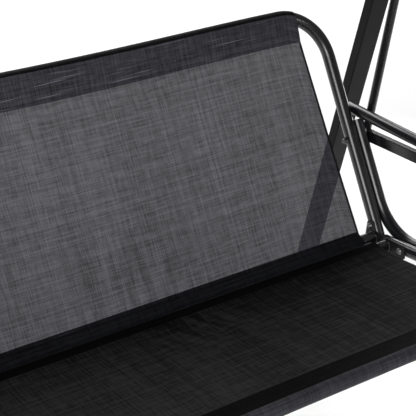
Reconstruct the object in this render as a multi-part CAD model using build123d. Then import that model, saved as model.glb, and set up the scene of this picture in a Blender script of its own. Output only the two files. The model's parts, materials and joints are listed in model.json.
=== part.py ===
# Canopy swing bench: free-standing A-frame stand, three-seat sling bench hung
# from two pivots, tilting fabric canopy with a hand knob on each side.
# Millimetres. X to the right, the bench faces -Y, Z up. Origin: middle of the
# footprint on the ground.
import math
import os

from build123d import *

os.makedirs("parts", exist_ok=True)

# ---------------------------------------------------------------- dimensions
GAP = 0.2                    # sliding-free gap between separate touching pieces

# seat and back frames
FRAME_D = 28.0               # round tube of seat, back and arm frames
FRAME_W = 1.5                # its wall
BACK_W = 2.0                 # wall of the back frame, which carries the bending
HALF = 660.0                 # half distance between the side tubes
BACK_TOP = (311.0, 890.0)    # (y, z) of the top tube's centreline
RECLINE = 28.02              # back frame, degrees from vertical
BACK_LEN = 524.0             # upright, from the top tube's centreline
BACK_R = 105.0               # corner bend
BACK_BOW = 7.6               # top tube pulled down by the sling, at mid-span
BACK_LOW_S = 514.3           # lower cross tube, down the back frame
SEAT_REAR = (28.4, 434.5)    # (y, z) of the seat's rear cross tube
SEAT_FRONT = (-355.9, 463.2) # (y, z) of the seat's front tube
SEAT_R = 60.0                # front corner bend
SEAT_BOW = 5.8               # front tube pulled back by the sling
SEAT_END_Y = 47.0            # rear end of the seat side tubes

# slings
CLOTH = 1.2                  # sling thickness
POCKET = 0.4                 # slack between a tube and the pocket round it
BACK_EDGE_TOP = 584.0        # half width of the back sling at the top
BACK_EDGE_LOW = 597.5        # and at the lower tube
SEAT_EDGE = 598.5            # half width of the seat sling
SHEET_N = 5.0                # sling mid-plane ahead of the tube centre plane

# arms
ARM_X = HALF + FRAME_D + 0.3 # arm frame plane
ARM_BEND = 128.0
POST_LEAN = 10.0             # front post, degrees forward of vertical
POST_Y = -294.0              # where the front post meets the bottom run
ARMREST_D = 25.0
ARMREST_REAR, ARMREST_FRONT = 218.0, -356.0

# hangers
HANGER_D = 19.0
HANGER_W = 1.5
BAR_H, BAR_T = 25.6, 15.0    # bottom bar of each hanger
BAR_Z = 629.6
BAR_X0 = ARM_X + FRAME_D / 2 + 0.4
BAR_X = BAR_X0 + BAR_T / 2
HANGER_X = ARM_X + FRAME_D / 2 + 0.4 + HANGER_D / 2
BAR_REAR, BAR_FRONT = 196.0, -339.0
PIVOT_Z = 1455.0
PIN_R = 5.0
HEAD_Z0 = 1408.0             # lower edge of the hanger head plate

# stand
LEG_X0, LEG_W, LEG_T = 764.0, 50.0, 25.0
LEG_WALL = 1.5
LEG_LEAN = 16.52             # degrees from vertical
LEG_FACE0 = 512.4            # inner face of a leg on the ground, from the middle
LEG_TOP = 1506.0
BEAM_D, BEAM_W, BEAM_Z = 38.0, 1.5, 1497.0
BEAM_HALF = 832.0
BRACE_Z = 150.0
BRACE_H, BRACE_T = 40.0, 20.0
CROSS_Z = 120.0

# canopy
RAIL_D, RAIL_W = 19.0, 1.2
RAIL_X = 833.5
RAIL_HALF = 540.0            # front and rear rails
RAIL_TOP, RAIL_DROP = 1570.0, 90.0
CAN_T = 1.2
CAN_HALF = 846.0
SKIRT_SIDE, SKIRT_END = 55.0, 112.0

LEAN = math.radians(RECLINE)
BD = (-math.sin(LEAN), -math.cos(LEAN))      # down the back frame, (y, z)
BN = (-math.cos(LEAN), math.sin(LEAN))       # out of the back, forwards


def back_pt(s, n=0.0):
    """(y, z) at distance s down the back frame and n ahead of it."""
    return (BACK_TOP[0] + BD[0] * s + BN[0] * n, BACK_TOP[1] + BD[1] * s + BN[1] * n)


SEAT_L = math.hypot(SEAT_REAR[0] - SEAT_FRONT[0], SEAT_REAR[1] - SEAT_FRONT[1])
SD = ((SEAT_FRONT[0] - SEAT_REAR[0]) / SEAT_L, (SEAT_FRONT[1] - SEAT_REAR[1]) / SEAT_L)
SN = (SD[1], -SD[0])                         # up out of the seat


def seat_pt(t, n=0.0):
    """(y, z) at distance t forwards of the rear tube and n above it."""
    return (SEAT_REAR[0] + SD[0] * t + SN[0] * n, SEAT_REAR[1] + SD[1] * t + SN[1] * n)


def seat_z(y):
    return SEAT_REAR[1] + (y - SEAT_REAR[0]) * SD[1] / SD[0]


def armrest_z(y):
    return 686.0 + (y - 177.0) * 0.0439


def leg_y(z, off=0.0):
    """Y of the leg's inner face plus off (across the tube) at height z."""
    return LEG_FACE0 - math.tan(math.radians(LEG_LEAN)) * z + off / math.cos(math.radians(LEG_LEAN))


# ------------------------------------------------------------------- helpers
def save(node, shape):
    solids = shape.solids()
    out = solids[0] if len(solids) == 1 else Compound(solids)
    out.label = node
    export_step(out, "parts/%s.step" % node)


def both(node, shape):
    """Saves a right-hand piece and its mirror image."""
    save(node + "_right", shape)
    save(node + "_left", shape.mirror(Plane.YZ))


def corner(p0, p1, p2, r):
    """Arc that rounds the corner p1, and its two tangent points."""
    a, b = (p0 - p1).normalized(), (p2 - p1).normalized()
    half = math.acos(max(-1, min(1, a.dot(b)))) / 2
    t = r / math.tan(half)
    bis = (a + b).normalized()
    mid = p1 + bis * (r / math.sin(half) - r)
    s, e = p1 + a * t, p1 + b * t
    return s, e, ThreePointArc(s, mid, e)


def bent(points, radii):
    """Wire through the points, each inner corner rounded."""
    pts = [Vector(*p) for p in points]
    edges, last = [], pts[0]
    for i in range(1, len(pts) - 1):
        s, e, arc = corner(pts[i - 1], pts[i], pts[i + 1], radii[i - 1])
        edges += [Line(last, s), arc]
        last = e
    edges.append(Line(last, pts[-1]))
    return Wire([e.edge() if hasattr(e, "edge") else e for e in edges])


def pipe(path, d, wall):
    wire = path if isinstance(path, Wire) else Wire([path.edge()])
    start = Plane(origin=wire.position_at(0), z_dir=wire.tangent_at(0))
    ring = start * (Circle(d / 2) - Circle(d / 2 - wall))
    return sweep(ring, path=wire)


def xrod(x0, x1, y, z, r):
    c = Cylinder(r, abs(x1 - x0))
    return Pos((x0 + x1) / 2, y, z) * (Rot(0, 90, 0) * c)


def xhex(x0, x1, y, z, flats):
    prism = extrude(RegularPolygon(flats / 2, 6, major_radius=False), amount=abs(x1 - x0))
    return Pos(min(x0, x1), y, z) * (Rot(0, 90, 0) * prism)


def yz_plate(points, x0, x1, r=0.0):
    """Flat plate with the outline given as (y, z) points, between x0 and x1."""
    face = make_face(Polyline(*[(0, y, z) for y, z in points], close=True).edges())
    plate = extrude(face, amount=x1 - x0, dir=(1, 0, 0))
    plate = Pos(x0, 0, 0) * plate
    if r:
        plate = fillet(plate.edges().filter_by(Axis.X), r)
    return plate


def xbolt(x_head, x_nut, y, z, r=4.0, domed=False):
    """Bolt along X: flanged hex head beyond x_head, nut beyond x_nut."""
    s = 1 if x_head > x_nut else -1
    body = xrod(x_nut - s * 7.5, x_head, y, z, r - 0.1)
    body += xrod(x_head, x_head + s * 1.4, y, z, r * 2.0)
    body += xhex(x_head + s * 1.4, x_head + s * 6.0, y, z, r * 3.1)
    body += xrod(x_nut, x_nut - s * 1.4, y, z, r * 2.0)
    body += xhex(x_nut - s * 1.4, x_nut - s * 7.0, y, z, r * 3.1)
    if domed:
        dome = Pos(x_nut - s * 7.0, y, z) * Sphere(r * 1.35)
        body += dome
    return body


def drill(shape, y, z, r=4.0, x0=600.0, x1=900.0):
    return shape - xrod(x0, x1, y, z, r)


# --------------------------------------------------------------- back frame
def back_sag(x):
    """How far the top tube's centreline lies down the back frame at x."""
    e = HALF - BACK_R
    x = abs(x)
    if x <= e:
        return BACK_BOW * (1 - (x / e) ** 2) ** 2
    return BACK_R - math.sqrt(BACK_R ** 2 - (x - e) ** 2)


def p_back(x, s, n=0.0):
    y, z = back_pt(s, n)
    return Vector(x, y, z)


e = HALF - BACK_R
k = BACK_R * (1 - math.sqrt(0.5))
top_pts = [p_back(x, back_sag(x)) for x in (-e, -e * 0.75, -e * 0.5, -e * 0.25, 0, e * 0.25, e * 0.5, e * 0.75, e)]
path = Wire([
    Line(p_back(-HALF, BACK_LEN), p_back(-HALF, BACK_R)).edge(),
    ThreePointArc(p_back(-HALF, BACK_R), p_back(-HALF + k, k), p_back(-e, 0)).edge(),
    Spline(*top_pts, tangents=[(1, 0, 0), (1, 0, 0)]).edge(),
    ThreePointArc(p_back(e, 0), p_back(HALF - k, k), p_back(HALF, BACK_R)).edge(),
    Line(p_back(HALF, BACK_R), p_back(HALF, BACK_LEN)).edge(),
])
back_frame = pipe(path, FRAME_D, BACK_W)
THROUGH = (173.9, 632.0)                     # main bolt of each side, (y, z)
PLATE_BACK = back_pt(487.0)                  # corner plate bolt into the back
PLATE_SEAT = (32.0, seat_z(32.0))            # corner plate bolts into the seat
PLATE_MID = (-14.0, seat_z(-14.0))
SEAT_BOLT = (-190.0, seat_z(-190.0))
for (y, z) in (THROUGH, PLATE_BACK):
    back_frame = drill(back_frame, y, z)
    back_frame = drill(back_frame, y, z, x0=-900, x1=-600)
save("back_frame", back_frame)

PLATE_X0, PLATE_X1 = HALF - FRAME_D / 2 - 3.2, HALF - FRAME_D / 2 - 0.2
cy, cz = back_pt(BACK_LOW_S)
low_half = PLATE_X0 - 0.2
back_cross = Pos(0, cy, cz) * (Rot(0, 90, 0) * (Cylinder(FRAME_D / 2, 2 * low_half) - Cylinder(FRAME_D / 2 - BACK_W, 2 * low_half)))
save("back_lower_tube", back_cross)

# --------------------------------------------------------------- seat frame
def seat_sag(x):
    e2 = HALF - SEAT_R
    return SEAT_BOW * (1 - min(1.0, abs(x) / e2) ** 2) ** 2


def p_seat(x, t, n=0.0):
    y, z = seat_pt(t, n)
    return Vector(x, y, z)


rear_t = (SEAT_END_Y - SEAT_REAR[0]) / SD[0]
e2 = HALF - SEAT_R
k2 = SEAT_R * (1 - math.sqrt(0.5))
front_pts = [p_seat(x, SEAT_L - seat_sag(x)) for x in (-e2, -e2 * 0.75, -e2 * 0.5, -e2 * 0.25, 0, e2 * 0.25, e2 * 0.5, e2 * 0.75, e2)]
path = Wire([
    Line(p_seat(-HALF, rear_t), p_seat(-HALF, SEAT_L - SEAT_R)).edge(),
    ThreePointArc(p_seat(-HALF, SEAT_L - SEAT_R), p_seat(-HALF + k2, SEAT_L - k2), p_seat(-e2, SEAT_L)).edge(),
    Spline(*front_pts, tangents=[(1, 0, 0), (1, 0, 0)]).edge(),
    ThreePointArc(p_seat(e2, SEAT_L), p_seat(HALF - k2, SEAT_L - k2), p_seat(HALF, SEAT_L - SEAT_R)).edge(),
    Line(p_seat(HALF, SEAT_L - SEAT_R), p_seat(HALF, rear_t)).edge(),
])
seat_frame = pipe(path, FRAME_D, FRAME_W)
for (y, z) in (PLATE_SEAT, PLATE_MID, SEAT_BOLT):
    seat_frame = drill(seat_frame, y, z)
    seat_frame = drill(seat_frame, y, z, x0=-900, x1=-600)
save("seat_frame", seat_frame)

seat_cross = Pos(0, SEAT_REAR[0], SEAT_REAR[1]) * (Rot(0, 90, 0) * (Cylinder(FRAME_D / 2, 2 * low_half) - Cylinder(FRAME_D / 2 - FRAME_W, 2 * low_half)))
# the corner plate's seat bolts come out beside the rear tube's ends
for s in (-1, 1):
    seat_cross -= xrod(s * (low_half - 10), s * (low_half + 5), PLATE_SEAT[0], PLATE_SEAT[1], 10.5)
save("seat_rear_tube", seat_cross)

# ------------------------------------------------------------------- slings
ri, ro = FRAME_D / 2 + POCKET, FRAME_D / 2 + POCKET + CLOTH
join = math.sqrt(((ri + ro) / 2) ** 2 - SHEET_N ** 2)

# back sling: pocket round the bowed top tube, sheet, pocket round the lower tube
xs = [BACK_EDGE_TOP * i / 12 for i in range(-12, 13)]
xm = (e + BACK_EDGE_TOP) / 2
loop = Wire([
    ThreePointArc(*[p_back(-x, back_sag(x)) for x in (BACK_EDGE_TOP, xm, e)]).edge(),
    Spline(*top_pts, tangents=[(1, 0, 0), (1, 0, 0)]).edge(),
    ThreePointArc(*[p_back(x, back_sag(x)) for x in (e, xm, BACK_EDGE_TOP)]).edge(),
])
top_pocket = sweep(Plane(origin=loop.position_at(0), z_dir=loop.tangent_at(0)) * (Circle(ro) - Circle(ri)), path=loop)
edge_top = Spline(*[p_back(x, back_sag(x) + join, SHEET_N - CLOTH / 2) for x in xs]).edge()
s_low = BACK_LOW_S - join
a, b = p_back(-BACK_EDGE_TOP, back_sag(BACK_EDGE_TOP) + join, SHEET_N - CLOTH / 2), p_back(BACK_EDGE_TOP, back_sag(BACK_EDGE_TOP) + join, SHEET_N - CLOTH / 2)
c, d = p_back(BACK_EDGE_LOW, s_low, SHEET_N - CLOTH / 2), p_back(-BACK_EDGE_LOW, s_low, SHEET_N - CLOTH / 2)
sheet = Face(Wire([edge_top, Line(b, c).edge(), Line(c, d).edge(), Line(d, a).edge()]))
sheet = extrude(sheet, amount=CLOTH, dir=(0, BN[0], BN[1]))
low_pocket = Pos(0, cy, cz) * (Rot(0, 90, 0) * (Cylinder(ro, 2 * BACK_EDGE_LOW) - Cylinder(ri, 2 * BACK_EDGE_LOW)))
save("back_sling", top_pocket + sheet + low_pocket)

# seat sling: pocket round the rear tube, sheet, pocket round the bowed front tube
xs = [SEAT_EDGE * i / 12 for i in range(-12, 13)]
loop = Wire([Spline(*[p_seat(x, SEAT_L - seat_sag(x)) for x in xs]).edge()])
front_pocket = sweep(Plane(origin=loop.position_at(0), z_dir=loop.tangent_at(0)) * (Circle(ro) - Circle(ri)), path=loop)
edge_front = Spline(*[p_seat(x, SEAT_L - seat_sag(x) - join, SHEET_N - CLOTH / 2) for x in xs]).edge()
a, b = p_seat(-SEAT_EDGE, SEAT_L - seat_sag(SEAT_EDGE) - join, SHEET_N - CLOTH / 2), p_seat(SEAT_EDGE, SEAT_L - seat_sag(SEAT_EDGE) - join, SHEET_N - CLOTH / 2)
c, d = p_seat(SEAT_EDGE, join, SHEET_N - CLOTH / 2), p_seat(-SEAT_EDGE, join, SHEET_N - CLOTH / 2)
sheet = Face(Wire([edge_front, Line(b, c).edge(), Line(c, d).edge(), Line(d, a).edge()]))
sheet = extrude(sheet, amount=CLOTH, dir=(0, SN[0], SN[1]))
rear_pocket = Pos(0, SEAT_REAR[0], SEAT_REAR[1]) * (Rot(0, 90, 0) * (Cylinder(ro, 2 * SEAT_EDGE) - Cylinder(ri, 2 * SEAT_EDGE)))
save("seat_sling", front_pocket + sheet + rear_pocket)

# ------------------------------------------------------------- corner plates
plate = yz_plate([(90, 470), (72, 474), (64, 452), (26, 452.5), (-28, 454.5), (-31, 424), (14, 417), (84, 417), (95, 430)], PLATE_X0, PLATE_X1, r=5)
for (y, z) in (PLATE_BACK, PLATE_SEAT, PLATE_MID):
    plate = plate - xrod(600, 700, y, z, 4.0)
both("corner_plate", plate)

# --------------------------------------------------------------------- arms
corner_rear = back_pt((890.0 - seat_z(69.6)) / math.cos(LEAN))
top_rear = back_pt((890.0 - 666.2) / math.cos(LEAN))
pl = math.radians(POST_LEAN)
post_foot = (POST_Y, seat_z(POST_Y))


def post_pt(z):
    return (post_foot[0] - math.tan(pl) * (z - post_foot[1]), z)


top_front = post_pt(645.6)
arm_path = bent([(ARM_X, *top_rear), (ARM_X, *corner_rear), (ARM_X, *post_foot), (ARM_X, *top_front)], [ARM_BEND, ARM_BEND * 0.8])
arm = pipe(arm_path, FRAME_D, FRAME_W)
BAR_FRONT_BOLT = post_pt(BAR_Z)
for (y, z) in (THROUGH, PLATE_MID, SEAT_BOLT, BAR_FRONT_BOLT):
    arm = drill(arm, y, z)
both("arm_frame", arm)

rest = pipe(Line((ARM_X, ARMREST_REAR, armrest_z(ARMREST_REAR)), (ARM_X, ARMREST_FRONT, armrest_z(ARMREST_FRONT))), ARMREST_D, 1.5)
both("armrest", rest)

tilt = math.atan(0.0439)
plugs = None
for y, sgn in ((ARMREST_REAR, 1), (ARMREST_FRONT, -1)):
    start = Vector(ARM_X, y, armrest_z(y))
    out = Vector(0, sgn * math.cos(tilt), sgn * math.sin(tilt))
    pln = Plane(origin=start + out * GAP, z_dir=out)
    cap = pln * extrude(Circle(ARMREST_D / 2 - 0.3), amount=3.0)
    cap = fillet(cap.edges().sort_by(Axis.Y)[-1 if sgn > 0 else 0], 1.6)
    stem = Plane(origin=start - out * 12, z_dir=out) * extrude(Circle(ARMREST_D / 2 - 1.8), amount=12 + GAP + 0.5)
    piece = cap + stem
    plugs = piece if plugs is None else plugs + piece
plugs = plugs + plugs.mirror(Plane.YZ)
save("armrest_plugs", plugs)

# ------------------------------------------------------------------ hangers
def rect_tube(w, h, length, wall, r=2.0):
    """Hollow rectangular tube along local Z."""
    outer = RectangleRounded(w, h, r)
    inner = RectangleRounded(w - 2 * wall, h - 2 * wall, max(r - wall, 0.4))
    return extrude(outer - inner, amount=length)


bar = Plane(origin=(BAR_X, BAR_FRONT, BAR_Z), x_dir=(1, 0, 0), z_dir=(0, 1, 0)) * rect_tube(BAR_T, BAR_H, BAR_REAR - BAR_FRONT, 1.5)
for (y, z) in (THROUGH, BAR_FRONT_BOLT):
    bar = drill(bar, y, z)
both("hanger_bar", bar)

BAR_TOP = BAR_Z + BAR_H / 2
rear_slope = -0.2078                          # y per z
rear_at = lambda z: 185.6 + rear_slope * (z - 629.2)
front_foot = -316.0
front_slope = (0.0 - front_foot) / (1468.0 - BAR_TOP)
front_at = lambda z: front_foot + front_slope * (z - BAR_TOP)
for name, at in (("hanger_rear_tube", rear_at), ("hanger_front_tube", front_at)):
    p0, p1 = Vector(HANGER_X, at(BAR_TOP - 30), BAR_TOP - 30), Vector(HANGER_X, at(HEAD_Z0 + 30), HEAD_Z0 + 30)
    t = pipe(Line(p0, p1), HANGER_D, HANGER_W)
    t = t & Pos(HANGER_X, 0, (BAR_TOP + GAP + HEAD_Z0 - GAP) / 2) * Box(60, 1200, HEAD_Z0 - BAR_TOP - 2 * GAP)
    both(name, t)

head = yz_plate([(-40, HEAD_Z0), (31, HEAD_Z0), (14, PIVOT_Z + 6), (8, PIVOT_Z + 14), (-8, PIVOT_Z + 14), (-14, PIVOT_Z + 6)], HANGER_X - 3, HANGER_X + 3, r=4)
head = head + xrod(HANGER_X - 3, HANGER_X + 3, 0, PIVOT_Z, 14.0)
BUSH_R = 8.0
head = head - xrod(HANGER_X - 5, HANGER_X + 5, 0, PIVOT_Z, BUSH_R + 0.05)
both("hanger_head", head)
bush = xrod(HANGER_X - 8, HANGER_X + 8, 0, PIVOT_Z, BUSH_R) - xrod(HANGER_X - 9, HANGER_X + 9, 0, PIVOT_Z, PIN_R + 0.05)
both("pivot_bush", bush)

# bolts of the swing: main bolts, front hanger bolts, seat bolts
BAR_X1 = BAR_X0 + BAR_T
inner_face = HALF - FRAME_D / 2
sets = xbolt(BAR_X1 + GAP, inner_face - GAP, *THROUGH, domed=True)
sets += xbolt(BAR_X1 + GAP, ARM_X - FRAME_D / 2 - GAP, *BAR_FRONT_BOLT, domed=True)
sets += xbolt(ARM_X + FRAME_D / 2 + GAP, inner_face - GAP, *SEAT_BOLT, domed=True)
sets = sets + sets.mirror(Plane.YZ)
save("frame_bolts", sets)


def plate_bolt(y, z, x_nut):
    """Round-headed bolt from inside, through the corner plate."""
    body = xrod(PLATE_X0 - GAP, x_nut, y, z, 3.9)
    dome = Pos(PLATE_X0 - GAP, y, z) * (Rot(0, -90, 0) * (Cone(7.5, 4.0, 4.2, align=(Align.CENTER, Align.CENTER, Align.MIN))))
    return body + dome


pb = plate_bolt(*PLATE_BACK, HALF + FRAME_D / 2 - 3.0)
pb += plate_bolt(*PLATE_SEAT, HALF + FRAME_D / 2 - 3.0)
mid = plate_bolt(*PLATE_MID, ARM_X + FRAME_D / 2 + 7.5)
x_out = ARM_X + FRAME_D / 2 + GAP
mid += xrod(x_out, x_out + 1.4, *PLATE_MID, 8.0) + xhex(x_out + 1.4, x_out + 7.0, *PLATE_MID, 12.4)
pb = pb + mid
pb = pb + pb.mirror(Plane.YZ)
save("plate_bolts", pb)

# end plugs of the seat side tubes, the back uprights and the hanger bars
def round_plug(start, out, d, wall):
    pln = Plane(origin=start + out * GAP, z_dir=out)
    stem = Plane(origin=start - out * 10, z_dir=out)
    return pln * extrude(Circle(d / 2 - 0.4), amount=2.0) + stem * extrude(Circle(d / 2 - wall - 0.3), amount=10 + GAP + 0.5)


fp = round_plug(p_back(HALF, BACK_LEN), Vector(0, *BD), FRAME_D, BACK_W)
fp += round_plug(p_seat(HALF, rear_t), Vector(0, -SD[0], -SD[1]), FRAME_D, FRAME_W)
for y, sgn in ((BAR_REAR, 1), (BAR_FRONT, -1)):
    cap = Pos(BAR_X, y + sgn * (GAP + 1.2), BAR_Z) * Box(BAR_T - 0.6, 2.4, BAR_H - 0.6)
    stem = Pos(BAR_X, y - sgn * 4.0, BAR_Z) * Box(BAR_T - 3.6, 10.0, BAR_H - 3.6)
    fp += cap + stem
fp = fp + fp.mirror(Plane.YZ)
save("frame_plugs", fp)

# -------------------------------------------------------------------- stand
A = math.radians(LEG_LEAN)
UP = Vector(0, -math.sin(A), math.cos(A))      # up the rear leg
LEG_XC = LEG_X0 + LEG_W / 2


def rear_leg_solid(w, t, wall=None, r=2.5):
    """Leaning tube of the rear right leg, over-long at both ends."""
    base = Vector(LEG_XC, leg_y(0, LEG_T / 2), 0) - UP * 60
    pln = Plane(origin=base, x_dir=(1, 0, 0), z_dir=UP)
    sk = RectangleRounded(w, t, r)
    if wall:
        sk = sk - RectangleRounded(w - 2 * wall, t - 2 * wall, max(r - wall, 0.4))
    return pln * extrude(sk, amount=1800)


def slab(z0, z1):
    return Pos(LEG_XC, 0, (z0 + z1) / 2) * Box(200, 1600, z1 - z0)


def four(node_rear, node_front, shape):
    save(node_rear + "_right", shape)
    save(node_rear + "_left", shape.mirror(Plane.YZ))
    front = shape.mirror(Plane.XZ)
    save(node_front + "_right", front)
    save(node_front + "_left", front.mirror(Plane.YZ))


APEX_BOLT_Z = (1425.0, 1478.0)
apex_bolts = [(leg_y(z, LEG_T / 2), z) for z in APEX_BOLT_Z]
leg = rear_leg_solid(LEG_W, LEG_T, LEG_WALL) & slab(7.0, LEG_TOP)
for (y, z) in apex_bolts:
    leg = drill(leg, y, z, r=4.2)
# rear legs carry the crossbar's bolts, all legs carry the brace's bolts
save("rear_leg_right", leg)
save("rear_leg_left", leg.mirror(Plane.YZ))
fl = leg.mirror(Plane.XZ)
save("front_leg_right", fl)
save("front_leg_left", fl.mirror(Plane.YZ))

cap = (rear_leg_solid(LEG_W + 5.0, LEG_T + 5.0, r=4.0) & slab(0, 42.0)) - (rear_leg_solid(LEG_W + 0.4, LEG_T + 0.4) & slab(6.8, 60.0))
caps = cap + cap.mirror(Plane.XZ)
caps = caps + caps.mirror(Plane.YZ)
save("foot_caps", caps)

# side braces, between the facing sides of the front and rear leg
brace = Pos(LEG_XC, 0, BRACE_Z) * (Rot(90, 0, 0) * Pos(0, 0, -600) * rect_tube(BRACE_T, BRACE_H, 1200, 1.5))
wedge = yz_plate([(-leg_y(0) + 0.3 / math.cos(A), 0), (leg_y(0) - 0.3 / math.cos(A), 0), (leg_y(500) - 0.3 / math.cos(A), 500), (-leg_y(500) + 0.3 / math.cos(A), 500)], LEG_X0 - 30, LEG_X0 + LEG_W + 30)
brace = brace & wedge
both("side_brace", brace)

# rear crossbar, between the inner sides of the rear legs
cross_y = leg_y(CROSS_Z, LEG_T / 2)
cross = Plane(origin=(-(LEG_X0 - 0.3), cross_y, CROSS_Z), x_dir=(0, 1, 0), z_dir=(1, 0, 0)) * rect_tube(BRACE_T, BRACE_H, 2 * (LEG_X0 - 0.3), 1.5)
save("rear_crossbar", cross)

# apex brackets: folded channel over the tops of both legs
BR0, BR1 = LEG_X0 - 0.3 - 3.0, LEG_X0 + LEG_W + 0.3 + 3.0
outline = [(-130, 1392), (130, 1392), (99, 1502), (46, 1540), (-46, 1540), (-99, 1502)]
inner_pl = yz_plate(outline, BR0, BR0 + 3.0, r=6)
outer_pl = yz_plate(outline, BR1 - 3.0, BR1, r=6)
web = Pos((BR0 + BR1) / 2, 0, 1538.5) * Box(BR1 - BR0, 72, 3.0)
bracket = inner_pl + outer_pl + web
bracket = bracket - xrod(700, 900, 0, BEAM_Z, BEAM_D / 2 + 0.2)
for (y, z) in apex_bolts:
    for s in (1, -1):
        bracket = bracket - xrod(700, 900, s * y, z, 4.2)
both("apex_bracket", bracket)

beam = Pos(0, 0, BEAM_Z) * (Rot(0, 90, 0) * (Cylinder(BEAM_D / 2, 2 * BEAM_HALF) - Cylinder(BEAM_D / 2 - BEAM_W, 2 * BEAM_HALF)))
save("top_beam", beam)

# clevis under the beam at each hanger, with its pin
CLV_TOP = BEAM_Z - BEAM_D / 2 - GAP
ear0, ear1 = HANGER_X - 16.0, HANGER_X + 16.0
ear = [(-17, CLV_TOP), (17, CLV_TOP), (17, PIVOT_Z + 4), (11, PIVOT_Z - 13), (-11, PIVOT_Z - 13), (-17, PIVOT_Z + 4)]
clevis = yz_plate(ear, ear0, ear0 + 4, r=3) + yz_plate(ear, ear1 - 4, ear1, r=3)
clevis += Pos(HANGER_X, 0, CLV_TOP - 2) * Box(32, 34, 4)
clevis = clevis - xrod(ear0 - 5, ear1 + 5, 0, PIVOT_Z, PIN_R + 0.05)
both("hanger_clevis", clevis)
pin = xrod(ear0 - 3, ear1 + 3, 0, PIVOT_Z, PIN_R)
pin += xrod(ear1 + 0.2, ear1 + 4.2, 0, PIVOT_Z, 8.5) + xrod(ear0 - 4.2, ear0 - 0.2, 0, PIVOT_Z, 8.5)
both("pivot_pin", pin)

# bolts of the stand
sb = None
for (y, z) in apex_bolts:
    bolt = xbolt(BR1 + GAP, BR0 - GAP, y, z, r=4.1)
    bolt = bolt + bolt.mirror(Plane.XZ)
    sb = bolt if sb is None else sb + bolt
sb = sb + sb.mirror(Plane.YZ)
save("apex_bolts", sb)


def leg_screw(out, at):
    """Screw head standing on a face at `at`, pointing along `out`."""
    pln = Plane(origin=at + out * GAP, z_dir=out)
    return pln * extrude(Circle(8.0), amount=1.4) + (pln.offset(1.4) * extrude(RegularPolygon(6.2, 6, major_radius=False), amount=4.6))


back_out = Vector(0, math.cos(A), math.sin(A))   # out of the rear leg's far face
face = Vector(LEG_XC, leg_y(BRACE_Z, LEG_T), BRACE_Z)
screws = leg_screw(back_out, face)
screws += screws.mirror(Plane.XZ)
side = Vector(LEG_X0 + LEG_W, cross_y, CROSS_Z)
screws += leg_screw(Vector(1, 0, 0), side)
screws = screws + screws.mirror(Plane.YZ)
save("brace_bolts", screws)

# ------------------------------------------------------------------- canopy
ARC_R = (RAIL_HALF ** 2 + RAIL_DROP ** 2) / (2 * RAIL_DROP)
ARC_Z = RAIL_TOP - ARC_R


def arc_z(y, r=ARC_R):
    return ARC_Z + math.sqrt(r * r - y * y)


rail_arc = ThreePointArc((RAIL_X, -RAIL_HALF, arc_z(RAIL_HALF)), (RAIL_X, 0, RAIL_TOP), (RAIL_X, RAIL_HALF, arc_z(RAIL_HALF)))
rail = pipe(Wire([rail_arc.edge()]), RAIL_D, RAIL_W)
both("canopy_side_rail", rail)
rail_end = RAIL_X - RAIL_D / 2 - 0.2
cross = Pos(0, RAIL_HALF, arc_z(RAIL_HALF)) * (Rot(0, 90, 0) * (Cylinder(RAIL_D / 2, 2 * rail_end) - Cylinder(RAIL_D / 2 - RAIL_W, 2 * rail_end)))
save("canopy_rear_rail", cross)
save("canopy_front_rail", cross.mirror(Plane.XZ))
yr = RAIL_HALF - RAIL_D / 2 - 0.4
rib_arc = ThreePointArc((0, -yr, arc_z(yr)), (0, 0, RAIL_TOP), (0, yr, arc_z(yr)))
save("canopy_centre_rib", pipe(Wire([rib_arc.edge()]), RAIL_D, RAIL_W))

# pivot plate of the canopy, turning on the beam outside the apex bracket
PP0 = BR1 + 1.6
PP1 = PP0 + 3.0
pp = yz_plate([(-24, 1480), (24, 1480), (60, 1560), (60, 1577), (-60, 1577), (-60, 1560)], PP0, PP1, r=6)
pp = pp + xrod(PP0, PP1, 0, BEAM_Z, 27.0)
pp = pp - xrod(PP0 - 5, PP1 + 5, 0, BEAM_Z, BEAM_D / 2 + 0.07)
both("canopy_pivot_plate", pp)
cb = None
for y in (-42.0, 42.0):
    z = arc_z(y)
    h = leg_screw(Vector(-1, 0, 0), Vector(PP0, y, z))
    cb = h if cb is None else cb + h
cb = cb + cb.mirror(Plane.YZ)

# beam end plug with a flange, and the hand knob outside it
plug = xrod(BEAM_HALF + GAP, BEAM_HALF + 3.2, 0, BEAM_Z, BEAM_D / 2 + 2.0) + xrod(BEAM_HALF - 20, BEAM_HALF + 1.0, 0, BEAM_Z, BEAM_D / 2 - BEAM_W - 0.2)
plug = plug - xrod(BEAM_HALF - 30, BEAM_HALF + 10, 0, BEAM_Z, 4.05)
both("beam_plug", plug)
KX0 = BEAM_HALF + 3.6
knob = xrod(KX0, KX0 + 20, 0, BEAM_Z, 15.0)
for i in range(6):
    t = math.radians(60 * i)
    knob += xrod(KX0, KX0 + 20, 16.0 * math.cos(t), BEAM_Z + 16.0 * math.sin(t) * 1.0, 4.5)
knob = knob + xrod(KX0 - 15, KX0 + 1, 0, BEAM_Z, 4.0)
both("tilt_knob", knob)

# fabric: arched top with side skirts and deeper end skirts
r_in = ARC_R + RAIL_D / 2 + 0.6
ye = RAIL_HALF + RAIL_D / 2 + 0.6


def arc_face(r1, r2, half, x0, x1):
    """Curved strip between radii r1 and r2 about the canopy's arc axis."""
    p = lambda r, y: (0, y, ARC_Z + math.sqrt(r * r - y * y))
    f = make_face([
        ThreePointArc(p(r1, -half), (0, 0, ARC_Z + r1), p(r1, half)).edge(),
        Line(p(r1, half), p(r2, half)).edge(),
        ThreePointArc(p(r2, half), (0, 0, ARC_Z + r2), p(r2, -half)).edge(),
        Line(p(r2, -half), p(r1, -half)).edge(),
    ])
    return Pos(x0, 0, 0) * extrude(f, amount=x1 - x0, dir=(1, 0, 0))


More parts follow.
